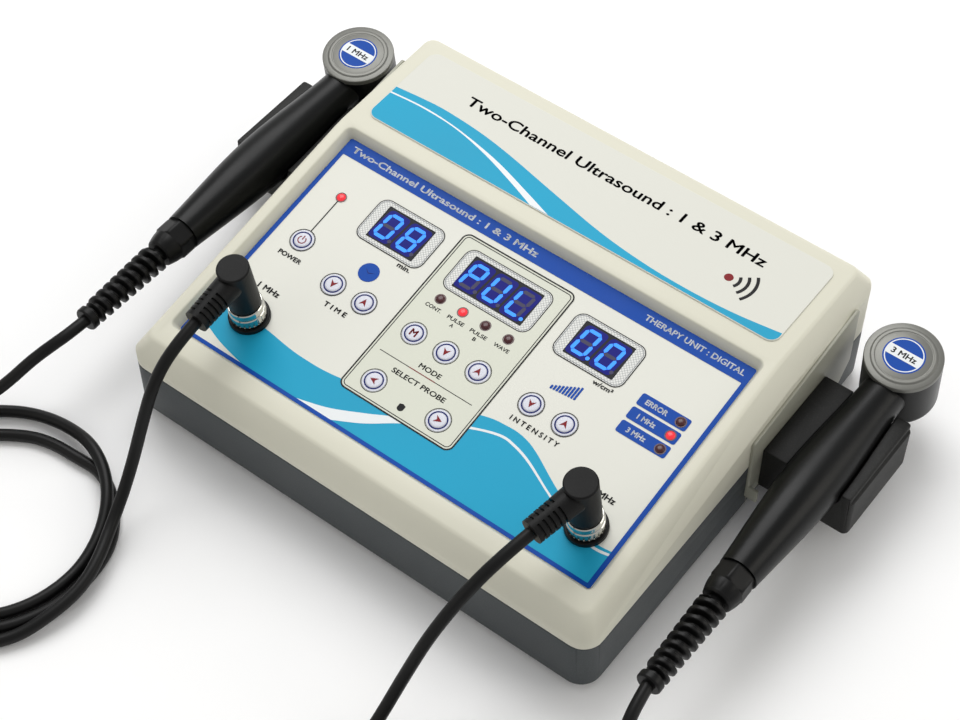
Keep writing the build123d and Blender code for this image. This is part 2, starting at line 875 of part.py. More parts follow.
# --- All the nodes --------------------------------------------------------------------------------
def nodes():
    made = {
        "lower_shell": lower_shell(),
        "upper_shell": upper_shell(),
        "rear_panel": rear_panel(),
        "rubber_feet": rubber_feet(),
        "case_screws": case_screws(),
        "label_plate": label_plate(),
        "front_overlay": front_overlay(),
        "display_windows": display_windows(),
        "display_modules": display_modules(),
        "indicator_leds": indicator_leds(),
        "display_board": display_board(),
        "key_switches": key_switches(),
        "main_board": main_board(),
        "mains_transformer": mains_transformer(),
        "heat_sink": heat_sink(),
        "power_transistors": power_transistors(),
        "filter_capacitors": filter_capacitors(),
        "mains_inlet": mains_inlet(),
        "inlet_pins": inlet_pins(),
        "fuse_drawer": fuse_drawer(),
        "power_switch": power_switch(),
        "power_rocker": power_rocker(),
        "probe_sockets": probe_sockets(),
        "socket_washers": socket_washers(),
        "socket_nuts": socket_nuts(),
        "left_plug": plug(socket_left, 0),
        "right_plug": plug(socket_right, -right_boot_turn),
        "left_coupling_ring": coupling_ring(socket_left),
        "right_coupling_ring": coupling_ring(socket_right),
        "holder_screws": holder_screws(),
        "left_lead": cord_tube(left_lead_route, "left_lead"),
        "left_coil": cord_coil(left_coil_middle, left_coil_radii),
        "left_return": cord_tube(left_return_route, "left_return"),
        "right_lead": cord_tube(right_lead_route, "right_lead"),
        "right_coil": cord_coil(right_coil_middle, right_coil_radii),
        "right_return": cord_tube(right_return_route, "right_return"),
    }
    for name, (u, v) in keys.items():
        made[name] = key_cap(u, v)
    sided = {
        "bracket": bracket(),
        "cradle": cradle(),
        "handle": handle(),
        "head": head(),
        "face": face(),
        "crystal": crystal(),
        "gland": gland(),
    }
    for name, shape in sided.items():
        made["right_" + name] = shape
        made["left_" + name] = other_side(shape)
    return made


def main():
    os.makedirs("parts", exist_ok=True)
    for name, shape in nodes().items():
        if isinstance(shape, list):
            shape = Compound(children=shape)
        export_step(shape, f"parts/{name}.step")


main()
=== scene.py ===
"""Looks of the two-channel ultrasound therapy unit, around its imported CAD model.

The panel and all on it are drawn in millimetres in its own axes: u across, v up the slope
and n out of it. The label plate, heads and glands have millimetre axes of their own too.
Every other length is in metres, unless its comment says so.
"""

import json
import math

import bmesh
import bpy
from mathutils import Matrix, Vector

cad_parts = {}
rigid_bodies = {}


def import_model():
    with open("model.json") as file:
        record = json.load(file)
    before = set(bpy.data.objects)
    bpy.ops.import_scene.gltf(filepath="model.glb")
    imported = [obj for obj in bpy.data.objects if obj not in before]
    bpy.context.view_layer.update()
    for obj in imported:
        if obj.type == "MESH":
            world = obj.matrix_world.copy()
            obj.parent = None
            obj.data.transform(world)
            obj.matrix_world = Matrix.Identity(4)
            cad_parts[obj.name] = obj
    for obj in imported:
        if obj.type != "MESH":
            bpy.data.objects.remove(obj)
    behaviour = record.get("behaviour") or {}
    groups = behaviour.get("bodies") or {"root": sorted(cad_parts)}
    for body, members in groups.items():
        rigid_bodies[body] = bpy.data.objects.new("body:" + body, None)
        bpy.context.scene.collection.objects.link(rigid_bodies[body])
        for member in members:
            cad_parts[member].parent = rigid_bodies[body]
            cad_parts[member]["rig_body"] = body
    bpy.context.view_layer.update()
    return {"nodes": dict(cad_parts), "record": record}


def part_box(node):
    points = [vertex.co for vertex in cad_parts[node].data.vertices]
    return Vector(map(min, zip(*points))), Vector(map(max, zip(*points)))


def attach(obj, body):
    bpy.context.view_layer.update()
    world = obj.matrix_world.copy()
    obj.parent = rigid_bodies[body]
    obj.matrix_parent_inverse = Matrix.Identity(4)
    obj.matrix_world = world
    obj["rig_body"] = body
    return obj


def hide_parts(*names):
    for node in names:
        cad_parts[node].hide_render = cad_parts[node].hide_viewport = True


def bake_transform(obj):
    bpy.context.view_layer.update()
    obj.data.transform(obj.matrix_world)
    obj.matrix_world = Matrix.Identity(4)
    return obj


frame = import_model()
scene = bpy.context.scene
MM = 0.001

# --- Places ------------------------------------------------------------------
slope = math.radians(9.0)
panel_width = 222.0
panel_length = 123.0
panel_origin = Vector((0, -0.0899, 0.0462))
panel_turn = Matrix.Rotation(slope, 4, "X")
panel_place = Matrix.Translation(panel_origin) @ panel_turn @ Matrix.Scale(MM, 4)
roof_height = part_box("label_plate")[1].z
roof_place = Matrix.Translation((0, 0, roof_height)) @ Matrix.Scale(MM, 4)

probe_x = 0.1522
probe_z = 0.0385
head_y = 0.0871
head_tilt = math.radians(6.0)
gland_back = -0.0426
gland_front = -0.1075
cord_diameter = 0.0056


# --- Meshes ------------------------------------------------------------------
def added(name, data):
    """A new object in the scene."""
    thing = bpy.data.objects.new(name, data)
    scene.collection.objects.link(thing)
    return thing


def new_object(name, mesh, material, body="root"):
    """A piece of one material that rides on a body, or on none."""
    piece = added(name, mesh)
    mesh.materials.clear()
    mesh.materials.append(material)
    if body:
        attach(piece, body)
    return piece


def mesh_from(data):
    """The finished mesh of a curve or of lettering."""
    holder = added("holder", data)
    mesh = bpy.data.meshes.new_from_object(holder)
    bpy.data.objects.remove(holder)
    return mesh


def smooth(mesh, angle=math.radians(35)):
    """Smooth shading, with edges sharper than the angle kept crisp."""
    mesh.shade_smooth()
    mesh.set_sharp_from_angle(angle=angle)


def arc(cx, cy, radius, start, end, steps):
    """Points on an arc, in degrees, both ends included."""
    points = []
    for index in range(steps + 1):
        angle = math.radians(start + (end - start) * index / steps)
        points.append((cx + radius * math.cos(angle), cy + radius * math.sin(angle)))
    return points


def circle(cx, cy, radius, steps=48):
    return arc(cx, cy, radius, 0, 360, steps)[:-1]


def rounded(cx, cy, width, height, radius, steps=8):
    """A rounded rectangle about its middle."""
    points = []
    corners = ((1, 1, 0), (-1, 1, 90), (-1, -1, 180), (1, -1, 270))
    for side, level, start in corners:
        x = cx + side * (width / 2 - radius)
        y = cy + level * (height / 2 - radius)
        points += arc(x, y, radius, start, start + 90, steps)
    return points


def flowing(points, steps=10):
    """A smooth open line through the points (Catmull-Rom)."""
    ends = [points[0], *points, points[-1]]
    line = []
    for p0, p1, p2, p3 in zip(ends, ends[1:], ends[2:], ends[3:]):
        for index in range(steps):
            t = index / steps
            here = []
            for a, b, c, d in zip(p0, p1, p2, p3):
                value = 2 * b + (c - a) * t + (2 * a - 5 * b + 4 * c - d) * t * t
                here.append(0.5 * (value + (3 * b - a - 3 * c + d) * t**3))
            line.append(tuple(here))
    return [*line, tuple(points[-1])]


print_thickness = 0.05        # mm


def printed(name, loops, level, material, place=None, body="root", thickness=print_thickness):
    """A thin printed shape from closed loops, where an inner loop is a hole."""
    curve = bpy.data.curves.new(name, "CURVE")
    curve.dimensions = "2D"
    curve.fill_mode = "BOTH"
    curve.extrude = thickness / 2
    for loop in loops:
        spline = curve.splines.new("POLY")
        spline.points.add(len(loop) - 1)
        for point, (x, y) in zip(spline.points, loop):
            point.co = (x, y, 0, 1)
        spline.use_cyclic_u = True
    mesh = mesh_from(curve)
    mesh.transform((place or panel_place) @ Matrix.Translation((0, 0, level)))
    new_object(name, mesh, material, body)


letter_depth = 0.02
letter_shifts = ((0, 0), (1, 0), (-1, 0), (0, 1), (0, -1))


def word_mesh(words, bold):
    """Lettering at the font's own size, made bolder by laying shifted copies over it."""
    data = bpy.data.curves.new("words", "FONT")
    data.body = words
    data.extrude = letter_depth / 2
    data.resolution_u = 4
    plain = mesh_from(data)
    shape = bmesh.new()
    for across, up in letter_shifts:
        copy = plain.copy()
        copy.transform(Matrix.Translation((across * bold, up * bold, 0)))
        shape.from_mesh(copy)
    mesh = bpy.data.meshes.new("words")
    shape.to_mesh(mesh)
    shape.free()
    return mesh


def extent(mesh, axis):
    values = [vertex.co[axis] for vertex in mesh.vertices]
    return min(values), max(values)


def lettering(name, words, u, v, height, level, material, **options):
    """Plain lettering, centred on (u, v), with capitals of the given height."""
    bold = options.get("bold", 0.022)
    place = options.get("place", panel_place)
    low, high = extent(word_mesh("H", bold), 1)
    scale = height / (high - low)
    mesh = word_mesh(words, bold)
    left, right = extent(mesh, 0)
    width = options.get("width", (right - left) * scale)
    stretch = width / (right - left)
    to_middle = Matrix.Translation((-(left + right) / 2, -(low + high) / 2, 0))
    sized = Matrix.Diagonal((stretch, scale, print_thickness / letter_depth, 1)) @ to_middle
    mesh.transform(place @ Matrix.Translation((u, v, level)) @ sized)
    new_object(name, mesh, material, options.get("body", "root"))


def ringed(name, rings):
    """A smooth closed mesh through rings of the same number of points."""
    mesh = bpy.data.meshes.new(name)
    shape = bmesh.new()
    loops = [[shape.verts.new(point) for point in points] for points in rings]
    for lower, upper in zip(loops, loops[1:]):
        count = len(lower)
        for index in range(count):
            after = (index + 1) % count
            shape.faces.new((lower[index], lower[after], upper[after], upper[index]))
    shape.faces.new(loops[-1])
    shape.faces.new(list(reversed(loops[0])))
    bmesh.ops.recalc_face_normals(shape, faces=shape.faces)
    shape.to_mesh(mesh)
    shape.free()
    smooth(mesh)
    return mesh


def turned_ring(height, radii):
    """Points round the local Z axis at one height, evenly spread in angle."""
    step = 2 * math.pi / len(radii)
    points = []
    for index, radius in enumerate(radii):
        points.append((radius * math.cos(index * step), radius * math.sin(index * step), height))
    return points


def lathe(profile, steps=64):
    """A mesh turned about the local Z axis from (radius, height) points, low to high."""
    return ringed("lathe", [turned_ring(height, [radius] * steps) for radius, height in profile])


def polar(name, heights, radius_at, sides):
    """A mesh about the local Z axis whose radius depends on height and angle."""
    angles = [2 * math.pi * index / sides for index in range(sides)]
    rings = []
    for height in heights:
        rings.append(turned_ring(height, [radius_at(height, angle) for angle in angles]))
    return ringed(name, rings)


def tube(name, path, radius, sides=16):
    """A round tube along a path, with its rings carried along without twist."""
    points = [Vector(point) for point in path]
    rings = []
    across = Vector((0, 0, 1))
    for index, point in enumerate(points):
        before = points[max(index - 1, 0)]
        after = points[min(index + 1, len(points) - 1)]
        along = (after - before).normalized()
        across = (across - along * across.dot(along)).normalized()
        other = along.cross(across)
        around = []
        for side in range(sides):
            angle = 2 * math.pi * side / sides
            offset = across * math.cos(angle) + other * math.sin(angle)
            around.append(point + offset * radius)
        rings.append(around)
    return ringed(name, rings)


same_place = 2e-6             # corners nearer than this are one
flat_angle = math.radians(0.6)
gentle_angle = math.radians(0.7)
sharp_angle = math.radians(22)
crease_angle = math.radians(40)


def crisp(node, material, passes):
    """A copy of a CAD node with merged flat faces and its sharp edges rounded.

    Each pass is a width and a test of an edge's middle that says whether it is rounded.
    """
    source = frame["nodes"][node]
    mesh = source.data.copy()
    if mesh.has_custom_normals:
        mesh.attributes.remove(mesh.attributes["custom_normal"])
    shape = bmesh.new()
    shape.from_mesh(mesh)
    bmesh.ops.remove_doubles(shape, verts=shape.verts, dist=same_place)
    bmesh.ops.dissolve_limit(shape, angle_limit=flat_angle, verts=shape.verts, edges=shape.edges)
    for face in shape.faces:
        face.smooth = any(is_gentle(edge) for edge in face.edges)
    for width, wanted in passes:
        round_edges(shape, width, wanted)
    shape.to_mesh(mesh)
    shape.free()
    mesh.set_sharp_from_angle(angle=crease_angle)
    piece = new_object(node + "_skin", mesh, material, source["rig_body"])
    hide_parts(node)


def is_gentle(edge):
    """Whether an edge lies inside a curved surface."""
    return len(edge.link_faces) == 2 and gentle_angle < edge.calc_face_angle(0) < sharp_angle


def round_edges(shape, width, wanted):
    """Rounds the sharp edges whose middles pass the test."""
    sharp = []
    for edge in shape.edges:
        if len(edge.link_faces) == 2 and edge.calc_face_angle(0) > sharp_angle:
            if wanted((edge.verts[0].co + edge.verts[1].co) / 2):
                sharp.append(edge)
    rounded_off = bmesh.ops.bevel(
        shape, geom=sharp, offset=width, offset_type="OFFSET", segments=3, profile=0.5,
        affect="EDGES", clamp_overlap=False,
    )
    for face in rounded_off["faces"]:
        face.smooth = True


# --- Materials ---------------------------------------------------------------
def linear(red, green, blue):
    """A display colour, 0 to 255, as linear values (the sRGB curve)."""
    values = []
    for channel in (red, green, blue):
        share = channel / 255
        values.append(share / 12.92 if share <= 0.04045 else ((share + 0.055) / 1.055) ** 2.4)
    return (*values, 1.0)


bump_strength = 0.35
rough_spread = 0.05
coat_roughness = 0.1
blotch_range = (0.3, 0.7)     # of the noise, from 0 to 1
fleck_start = 0.52
fleck_full = 0.72


def surface(name, slot, colour, rough, **look):
    """A shader with its own grain, blotches and roughness, all in object space.

    grain and blotch are feature sizes in metres; bump is the grain's depth in metres.
    """
    material = bpy.data.materials.new(name)
    material["slot"] = slot
    material.use_nodes = True
    nodes = material.node_tree.nodes
    links = material.node_tree.links
    shader = nodes["Principled BSDF"]
    set_gloss(shader, look)
    place = nodes.new("ShaderNodeTexCoord")
    stretch = nodes.new("ShaderNodeMapping")
    stretch.inputs["Scale"].default_value = look.get("stretch", (1, 1, 1))
    links.new(place.outputs["Object"], stretch.inputs["Vector"])
    grain = noise(nodes, links, stretch.outputs["Vector"], look.get("grain", 0.0006), 3)
    blotch = noise(nodes, links, place.outputs["Object"], look.get("blotch", 0.03), 4)
    bumpy = nodes.new("ShaderNodeBump")
    bumpy.inputs["Strength"].default_value = bump_strength
    bumpy.inputs["Distance"].default_value = look.get("bump", 0.00006)
    links.new(grain, bumpy.inputs["Height"])
    links.new(bumpy.outputs["Normal"], shader.inputs["Normal"])
    spread = look.get("spread", 0.06)
    base = linear(*colour)[:3]
    darker = (*[channel * (1 - spread) for channel in base], 1)
    lighter = (*[min(1, channel * (1 + spread)) for channel in base], 1)
    tint = mixed(nodes, links, blotch, darker, lighter)
    if "fleck" in look:
        tint = flecked(nodes, links, grain, tint, look["fleck"])
    links.new(tint, shader.inputs["Base Color"])
    rough_range = (rough - rough_spread, rough + rough_spread)
    rough_here = mapped(nodes, links, blotch, blotch_range, rough_range)
    links.new(rough_here, shader.inputs["Roughness"])
    return material


def set_gloss(shader, look):
    """The values that are the same all over a surface."""
    shader.inputs["Metallic"].default_value = look.get("metal", 0.0)
    shader.inputs["Coat Weight"].default_value = look.get("coat", 0.0)
    shader.inputs["Coat Roughness"].default_value = coat_roughness
    shader.inputs["Specular IOR Level"].default_value = look.get("specular", 0.5)
    if "glow" in look:
        shader.inputs["Emission Color"].default_value = linear(*look["glow"])
        shader.inputs["Emission Strength"].default_value = look["power"]


def noise(nodes, links, vector, size, detail):
    """Noise with features of the given size, from 0 to 1."""
    texture = nodes.new("ShaderNodeTexNoise")
    texture.inputs["Scale"].default_value = 1 / size
    texture.inputs["Detail"].default_value = detail
    links.new(vector, texture.inputs["Vector"])
    return texture.outputs["Fac"]


def mapped(nodes, links, value, source, target=(0, 1)):
    """A value carried over from one range to another."""
    level = nodes.new("ShaderNodeMapRange")
    for entry, number in zip(("From Min", "From Max", "To Min", "To Max"), (*source, *target)):
        level.inputs[entry].default_value = number
    links.new(value, level.inputs["Value"])
    return level.outputs["Result"]


def mixed(nodes, links, share, *colours):
    """A mix of two colours, each of them a plain colour or a node's output."""
    mix = nodes.new("ShaderNodeMix")
    mix.data_type = "RGBA"
    links.new(share, mix.inputs[0])
    for entry, colour in zip((mix.inputs[6], mix.inputs[7]), colours):
        if isinstance(colour, tuple):
            entry.default_value = colour
        else:
            links.new(colour, entry)
    return mix.outputs[2]


def flecked(nodes, links, grain, colour, fleck):
    """Fine specks of a second colour where the grain is high."""
    ramp = nodes.new("ShaderNodeValToRGB")
    ramp.color_ramp.elements[0].position = fleck_start
    ramp.color_ramp.elements[1].position = fleck_full
    links.new(grain, ramp.inputs["Fac"])
    return mixed(nodes, links, ramp.outputs["Color"], colour, linear(*fleck))


def ink(name, colour, slot="printed_overlay", rough=0.38, **look):
    """A printed or moulded surface that is nearly flat."""
    return surface(name, slot, colour, rough, grain=0.0003, bump=0.00001, specular=0.12, **look)


lattice_cell = 0.00115
lattice_line = (172, 174, 173)
lattice_edge = (0.05, 0.15)   # where a line fades out, in cells


def lattice_material():
    """White film printed with a fine grey lattice of slanting cells."""
    material = ink("bezel_lattice", (228, 229, 225), rough=0.35, spread=0.02)
    nodes = material.node_tree.nodes
    links = material.node_tree.links
    place = nodes.new("ShaderNodeTexCoord")
    flatten = nodes.new("ShaderNodeMapping")
    flatten.inputs["Rotation"].default_value = (-slope, 0, math.radians(45))
    cells = nodes.new("ShaderNodeTexVoronoi")
    cells.feature = "DISTANCE_TO_EDGE"
    cells.inputs["Scale"].default_value = 1 / lattice_cell
    cells.inputs["Randomness"].default_value = 0
    links.new(place.outputs["Object"], flatten.inputs["Vector"])
    links.new(flatten.outputs["Vector"], cells.inputs["Vector"])
    share = mapped(nodes, links, cells.outputs["Distance"], lattice_edge)
    base = nodes["Principled BSDF"].inputs["Base Color"]
    film = base.links[0].from_socket
    links.new(mixed(nodes, links, share, linear(*lattice_line), film), base)
    return material


ivory = surface(
    "ivory_shell", "ivory_plastic", (215, 213, 196), 0.5,
    grain=0.0005, bump=0.00003, spread=0.02, specular=0.4,
)
slate = surface(
    "slate_shell", "slate_plastic", (58, 63, 65), 0.5,
    grain=0.0005, bump=0.00006, fleck=(72, 78, 81), specular=0.4,
)
overlay_white = ink("overlay_white", (226, 226, 217), spread=0.015)
label_white = ink("label_white", (217, 217, 208), "printed_label", 0.4, spread=0.015)
overlay_grey = ink("overlay_grey", (217, 219, 205), spread=0.03)
print_blue = ink("print_blue", (0, 70, 164), spread=0.05)
print_navy = ink("print_navy", (16, 30, 100), "key_print")
print_cyan = ink("print_cyan", (32, 160, 198), blotch=0.08, spread=0.12)
print_black = ink("print_black", (24, 24, 26), rough=0.4)
print_grey = ink("print_grey", (120, 124, 130), rough=0.4)
print_white = ink("print_white", (232, 236, 238), spread=0.01)
print_maroon = ink("print_maroon", (128, 26, 32), "key_print", 0.4)
key_white = ink("key_white", (214, 216, 226), "key_print", 0.3, spread=0.02, coat=0.2)
bezel_mesh = lattice_material()
window_navy = ink("window_navy", (6, 6, 16), "tinted_filter", 0.22)
digit_lit = surface(
    "digit_lit", "tinted_filter", (30, 90, 190), 0.35, glow=(66, 150, 255), power=1.0, specular=0.1
)
digit_halo = surface(
    "digit_halo", "tinted_filter", (4, 6, 40), 0.35, glow=(4, 14, 190), power=0.34, specular=0.1
)
digit_dark = surface("digit_dark", "tinted_filter", (70, 68, 92), 0.35, specular=0.1)
lamp_lit = surface(
    "lamp_lit", "red_lamp", (170, 12, 24), 0.22, glow=(250, 60, 72), power=0.62
)
lamp_dark = surface("lamp_dark", "red_lamp", (66, 18, 24), 0.25)
black_satin = surface(
    "black_satin", "handle_plastic", (7, 8, 8), 0.33,
    grain=0.0005, bump=0.00003, spread=0.12, specular=0.2,
)
fitting_black = surface(
    "fitting_black", "black_plastic", (9, 9, 9), 0.4,
    grain=0.0005, bump=0.00004, spread=0.12, specular=0.2,
)
holder_black = surface(
    "holder_black", "holder_plastic", (20, 20, 19), 0.5,
    grain=0.0007, bump=0.00012, fleck=(34, 34, 32), specular=0.26,
)
plug_black = surface(
    "plug_black", "plug_rubber", (9, 9, 9), 0.46,
    grain=0.0006, bump=0.00008, fleck=(18, 18, 17), specular=0.2,
)
cord_black = surface(
    "cord_black", "cord_rubber", (8, 8, 8), 0.42,
    grain=0.0008, bump=0.00005, spread=0.15, specular=0.24,
)
foot_rubber = surface("foot_rubber", "rubber", (32, 32, 32), 0.8, grain=0.0008, bump=0.0001)
face_metal = surface(
    "face_metal", "face_aluminium", (112, 112, 107), 0.36, metal=0.45, grain=0.0004, bump=0.00003
)
chrome = surface("chrome", "chrome", (205, 203, 196), 0.16, metal=1.0, grain=0.002, bump=0.00001)
steel = surface("steel", "plated_steel", (176, 178, 180), 0.32, metal=1.0, bump=0.00002)
brass = surface("brass", "plated_brass", (196, 176, 120), 0.3, metal=1.0, bump=0.00002)
bracket_paint = surface(
    "bracket_paint", "bracket_paint", (160, 160, 146), 0.42, grain=0.0009, spread=0.05
)
board_green = surface(
    "board_green", "circuit_board", (34, 96, 58), 0.35, grain=0.0015, fleck=(70, 132, 84)
)
aluminium = surface(
    "aluminium", "aluminium", (172, 174, 176), 0.35, metal=1.0, stretch=(1, 1, 0.05)
)
lamination = surface(
    "lamination", "transformer_steel", (96, 92, 88), 0.5, metal=0.6, stretch=(0.05, 1, 0.05)
)
sleeve = surface("sleeve", "capacitor_sleeve", (30, 36, 74), 0.3, grain=0.001)
ceramic = surface("ceramic", "ceramic", (206, 200, 186), 0.4)
module_black = surface("module_black", "display_body", (30, 30, 34), 0.5)
rocker_black = surface("rocker_black", "rocker_plastic", (24, 24, 25), 0.28, coat=0.3)


def finish_nodes():
    """Every CAD node that keeps its shape gets the finish of its slot."""
    materials = (
        ivory, slate, overlay_white, label_white, key_white, window_navy, lamp_dark,
        black_satin, fitting_black, holder_black, plug_black, cord_black, foot_rubber,
        face_metal, chrome, steel, brass, bracket_paint, board_green, aluminium, lamination,
        sleeve, ceramic, module_black, rocker_black,
    )
    finishes = {material["slot"]: material for material in materials}
    for part in frame["record"]["subparts"]:
        for place in frame["nodes"][part["node"]].material_slots:
            place.material = finishes[part["material_slot"]]


# --- Camera, floor and light -------------------------------------------------
camera_place = Vector((0.3640, -0.4912, 0.8157))
camera_aim = Vector((-0.37036, 0.48248, -0.79376))
camera_roll = math.radians(-0.26)
camera_lens = 83.58
camera_sensor = 36


def facing(place, direction):
    """The placement of a camera or light at a point, turned along a direction."""
    turn = direction.to_track_quat("-Z", "Y").to_matrix().to_4x4()
    return Matrix.Translation(place) @ turn


def camera():
    data = bpy.data.cameras.new("camera")
    data.sensor_width = camera_sensor
    data.lens = camera_lens
    data.clip_end = 20
    view = added("camera", data)
    view.matrix_world = facing(camera_place, camera_aim) @ Matrix.Rotation(camera_roll, 4, "Z")
    scene.camera = view


floor_half = 12.0
floor_z = -0.0002             # just under the feet


def floor():
    mesh = bpy.data.meshes.new("floor")
    sides = ((-1, -1), (1, -1), (1, 1), (-1, 1))
    corners = [(x * floor_half, y * floor_half, floor_z) for x, y in sides]
    mesh.from_pydata(corners, [], [(0, 1, 2, 3)])
    paper = surface("floor_paper", "ivory_plastic", (254, 254, 254), 0.9, spread=0.001)
    mesh.materials.append(paper)
    added("floor", mesh)


lights = [
    # name, place, size, power, colour
    ("key_light", (-0.7, 0.7, 1.6), (1.3, 1.3), 21, (1, 1, 1)),
    ("front_light", (-0.9, -1.5, 1.0), (1.6, 0.8), 3.0, (1, 0.95, 0.86)),
    ("side_light", (1.5, 0.9, 0.9), (1.0, 1.0), 6.0, (1, 0.96, 0.88)),
]


def area_light(name, place, size, power, colour):
    """A soft light that shines on the middle of the object."""
    data = bpy.data.lights.new(name, "AREA")
    data.shape = "RECTANGLE"
    data.size, data.size_y = size
    data.energy = power
    data.color = colour
    added(name, data).matrix_world = facing(place, -Vector(place))


front_strength = 0.44         # of the surroundings, which are darker on the camera's side
back_strength = 0.68


def studio():
    """Soft lights in pale surroundings."""
    world = bpy.data.worlds.new("studio")
    scene.world = world
    world.use_nodes = True
    nodes = world.node_tree.nodes
    links = world.node_tree.links
    direction = nodes.new("ShaderNodeTexCoord")
    parts = nodes.new("ShaderNodeSeparateXYZ")
    links.new(direction.outputs["Generated"], parts.inputs["Vector"])
    strength = mapped(nodes, links, parts.outputs["Y"], (-1, 1), (front_strength, back_strength))
    links.new(strength, nodes["Background"].inputs["Strength"])
    nodes["Background"].inputs["Color"].default_value = (1, 1, 1, 1)
    for light in lights:
        area_light(*light)
    scene.view_settings.view_transform = "Standard"


# --- Leads -------------------------------------------------------------------
# The free stretches repeat the CAD routes, in metres; loops lay the coils between them.
left_lead_route = [
    (-0.0885, -0.0989, 0.0774), (-0.0885, -0.1143, 0.0746), (-0.0889, -0.1275, 0.0642),
    (-0.0892, -0.1368, 0.0470), (-0.0889, -0.1460, 0.0300), (-0.0876, -0.1560, 0.0175),
    (-0.0840, -0.1690, 0.0105),
]
left_return_route = [
    (-0.1776, -0.1593, 0.0118), (-0.1716, -0.1520, 0.0156), (-0.1660, -0.1438, 0.0226),
    (-0.1607, -0.1346, 0.0307), (-0.1561, -0.1260, 0.0358), (-0.1530, -0.1170, 0.0382),
    (-0.1522, -0.1070, 0.0385),
]
right_lead_route = [
    (0.0875, -0.0986, 0.0774), (0.0842, -0.1135, 0.0752), (0.0785, -0.1300, 0.0640),
    (0.0725, -0.1450, 0.0460), (0.0685, -0.1580, 0.0260), (0.0666, -0.1710, 0.0110),
    (0.0665, -0.1870, 0.0036), (0.0690, -0.2030, 0.0028), (0.0760, -0.2170, 0.0028),
    (0.0900, -0.2273, 0.0028), (0.1060, -0.2298, 0.0028),
]
right_return_route = [
    (0.1592, -0.1780, 0.0064), (0.1596, -0.1651, 0.0074), (0.1593, -0.1551, 0.0110),
    (0.1583, -0.1461, 0.0180), (0.1570, -0.1366, 0.0272), (0.1554, -0.1271, 0.0341),
    (0.1534, -0.1176, 0.0376), (0.1522, -0.1070, 0.0385),
]
left_coil_middle = (-0.137, -0.1939)
right_coil_middle = (0.124, -0.1939)
floor_level = cord_diameter / 2
over_level = floor_level + cord_diameter

# The loose left coil runs clockwise: (degrees turned, radius, height), in millimetres,
# where it changes.
left_coil_bends = [
    (8, 61.0, 9.6), (-8, 64.0, 8.0), (-40, 68.0, 3.4), (-90, 66.6, 2.8), (-135, 61.0, 2.8),
    (-180, 52.0, 2.8), (-232, 41.0, 2.8), (-275, 44.5, 2.8), (-310, 55.0, 2.8),
    (-345, 59.5, 2.8), (-400, 61.0, 2.8), (-450, 60.4, 2.8), (-478, 60.2, 6.0),
    (-495, 60.0, 8.6), (-520, 59.0, 8.6), (-545, 58.5, 5.0), (-592, 54.5, 2.8),
    (-625, 54.0, 4.5), (-648, 54.0, 8.6), (-675, 54.0, 8.6), (-700, 53.4, 4.6),
    (-720, 53.4, 2.8), (-757, 54.2, 2.8), (-810, 53.8, 2.8), (-838, 53.2, 5.0),
    (-862, 53.0, 8.6), (-895, 54.0, 10.0), (-925, 54.0, 10.6),
]


def between(bends, turned):
    """The radius and height of a coil where it has turned so far, from its bends."""
    for (a0, r0, z0), (a1, r1, z1) in zip(bends, bends[1:]):
        low, high = min(a0, a1), max(a0, a1)
        if low <= turned <= high:
            share = (turned - a0) / (a1 - a0)
            ease = share * share * (3 - 2 * share)
            return r0 + (r1 - r0) * ease, z0 + (z1 - z0) * ease
    return bends[-1][1:]


def coil_point(middle, turned, radius, height):
    angle = math.radians(turned)
    return middle[0] + radius * math.cos(angle), middle[1] + radius * math.sin(angle), height


def loose_coil(middle, bends, step):
    """Points of a coil that follows a list of bends, a step of degrees at a time."""
    points = []
    first, last = bends[0][0], bends[-1][0]
    count = round(abs(last - first) / step)
    for index in range(count + 1):
        turned = first + (last - first) * index / count
        radius, height = between(bends, turned)
        points.append(coil_point(middle, turned, radius * MM, height * MM))
    return points


def neat_coil(middle, start, end, turns_down, radii, step=24):
    """A wound coil: inwards on the floor, up at the middle and outwards on top."""
    outer, inner = radii
    climb = 70                # degrees turned while it rises
    points = []
    count = round((end - start) / step)
    for index in range(count + 1):
        turned = start + (end - start) * index / count
        down = min(1, (turned - start) / (turns_down * 360))
        past_middle = turned - start - turns_down * 360
        up = max(0, past_middle / (end - start - turns_down * 360))
        radius = outer + (inner - outer) * down + (outer - inner) * up
        rise = min(1, max(0, (past_middle + climb / 2) / climb))
        height = floor_level + (over_level - floor_level) * rise
        points.append(coil_point(middle, turned, radius, height))
    return points


def route_line(name, points):
    """The smooth line of a lead: a NURBS spline controlled by its route's points."""
    curve = bpy.data.curves.new(name, "CURVE")
    curve.dimensions = "3D"
    spline = curve.splines.new("NURBS")
    spline.points.add(len(points) - 1)
    for point, place in zip(spline.points, points):
        point.co = (*place, 1)
    spline.order_u = 3
    spline.use_endpoint_u = True
    spline.resolution_u = 6
    mesh = mesh_from(curve)
    return [tuple(vertex.co) for vertex in mesh.vertices]


def lead(side, points, bend_start, bend_end, length):
    """One cord from its plug, fixed to the case, to its gland, which moves with the probe."""
    path = route_line(side + "_line", points)
    mesh = tube(side + "_cord", path, cord_diameter / 2)
    piece = new_object(side + "_cord", mesh, cord_black, None)
    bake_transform(piece)
    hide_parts(side + "_lead", side + "_coil", side + "_return")


left_bend = ((-0.1600, -0.1325, 0.03), (-0.1678, -0.1169, 0.03))
right_bend = ((0.1592, -0.160, 0.009), (0.1817, -0.1375, 0.009))
left_length = 1.12
right_length = 1.09
right_coil_radii = (0.0358, 0.0246)


